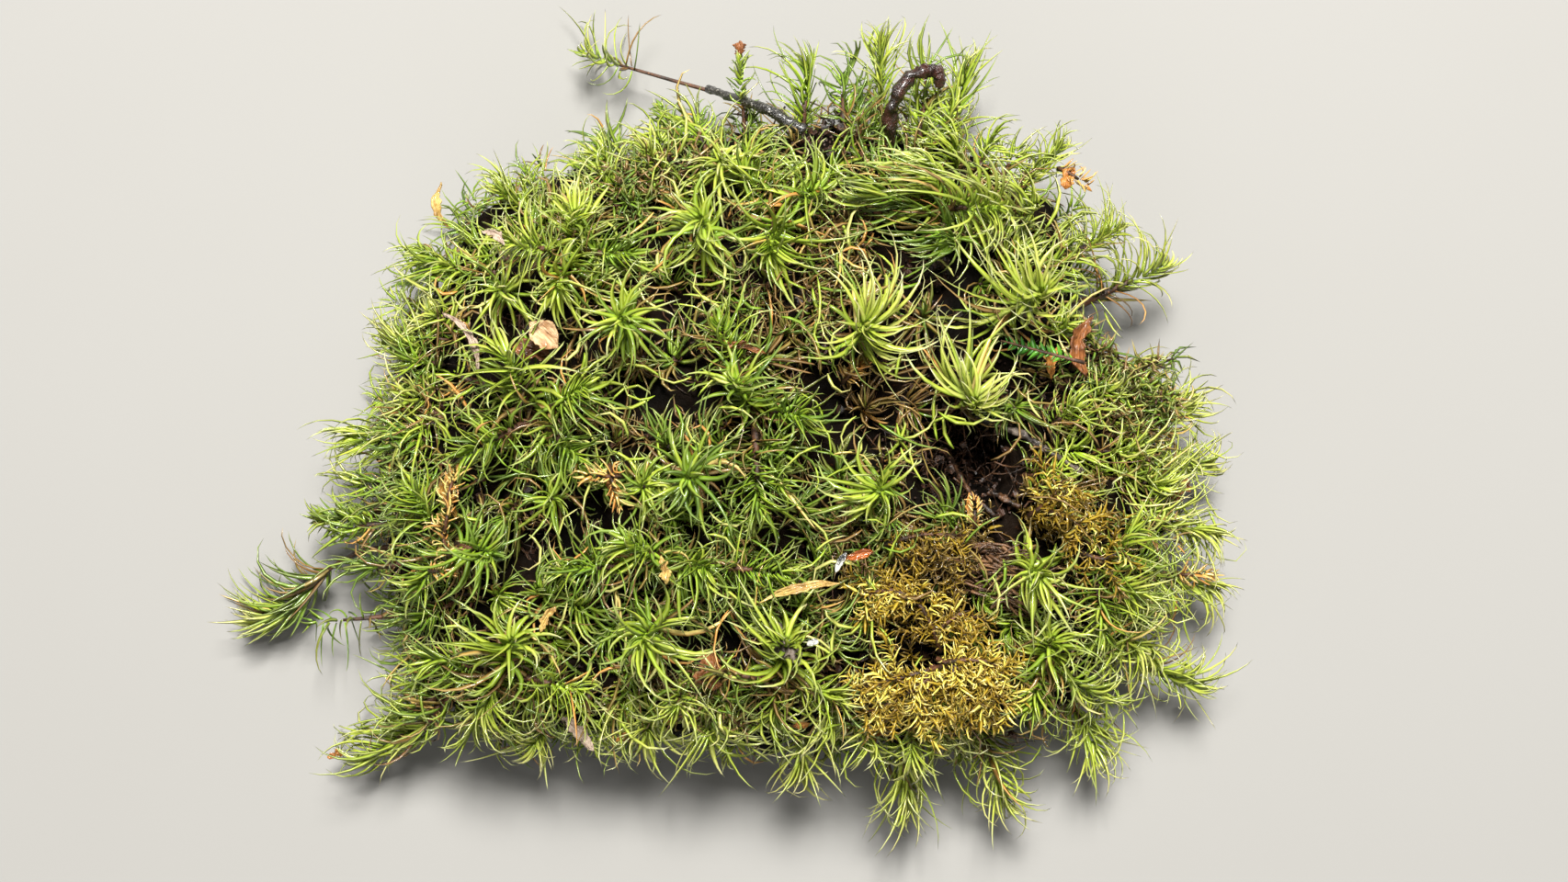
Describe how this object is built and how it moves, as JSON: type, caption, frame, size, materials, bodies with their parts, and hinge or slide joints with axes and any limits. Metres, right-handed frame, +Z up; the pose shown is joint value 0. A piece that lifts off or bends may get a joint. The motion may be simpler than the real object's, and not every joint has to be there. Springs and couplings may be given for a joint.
{
  "type": "moss clump",
  "caption": "Clump of broom moss on its bed of dark peat, with golden moss, a twig and dead leaf bits, cut flat underneath to rest on a surface.",
  "frame": {"origin": "on the flat underside, in the middle of the bed's footprint", "axes": "+Z up out of the moss, +X along the clump's longer side, the right of the picture, +Y towards the top of the picture"},
  "size_m": [0.1347, 0.1092, 0.0383],
  "materials": {
    "peat": "matte",
    "green_moss": "satin",
    "bright_moss": "satin",
    "deep_moss": "satin",
    "golden_moss": "satin",
    "bark": "satin",
    "tan_leaf": "matte",
    "rust_leaf": "satin"
  },
  "bodies": {
    "root": {"peat_bed": "peat", "tall_shoot_01": "bright_moss", "tall_shoot_02": "bright_moss", "tall_shoot_03": "bright_moss", "tall_shoot_04": "green_moss", "tall_shoot_05": "green_moss", "tall_shoot_06": "green_moss", "tall_shoot_07": "bright_moss", "tall_shoot_08": "green_moss", "tall_shoot_09": "green_moss", "rim_shoot_01": "bright_moss", "rim_shoot_02": "bright_moss", "rim_shoot_03": "green_moss", "rim_shoot_04": "green_moss", "rim_shoot_05": "deep_moss", "rim_shoot_06": "bright_moss", "rim_shoot_07": "green_moss", "rim_shoot_08": "bright_moss", "rim_shoot_09": "green_moss", "rim_shoot_10": "green_moss", "rim_shoot_11": "green_moss", "rim_shoot_12": "bright_moss", "rim_shoot_13": "green_moss", "rim_shoot_14": "green_moss", "rim_shoot_15": "green_moss", "rim_shoot_16": "green_moss", "rim_shoot_17": "green_moss", "rim_shoot_18": "green_moss", "rim_shoot_19": "bright_moss", "rim_shoot_20": "bright_moss", "rim_shoot_21": "bright_moss", "rim_shoot_22": "green_moss", "rim_shoot_23": "bright_moss", "rim_shoot_24": "green_moss", "rim_shoot_25": "bright_moss", "rim_shoot_26": "deep_moss", "rim_shoot_27": "green_moss", "rim_shoot_28": "bright_moss", "rim_shoot_29": "green_moss", "rim_shoot_30": "green_moss", "lying_shoot": "green_moss", "fallen_shoot": "deep_moss", "moss_tuft_01": "green_moss", "moss_tuft_02": "green_moss", "moss_tuft_03": "green_moss", "moss_tuft_04": "green_moss", "moss_tuft_05": "green_moss", "moss_tuft_06": "green_moss", "moss_tuft_07": "green_moss", "moss_tuft_08": "green_moss", "moss_tuft_09": "green_moss", "moss_tuft_10": "green_moss", "moss_tuft_11": "green_moss", "golden_moss_upper": "golden_moss", "golden_moss_lower": "golden_moss", "golden_moss_right": "golden_moss", "dark_twig": "bark", "tan_leaf_scale": "tan_leaf", "curled_dead_leaf": "rust_leaf", "fern_sprig": "deep_moss"}
  },
  "joints": []
}
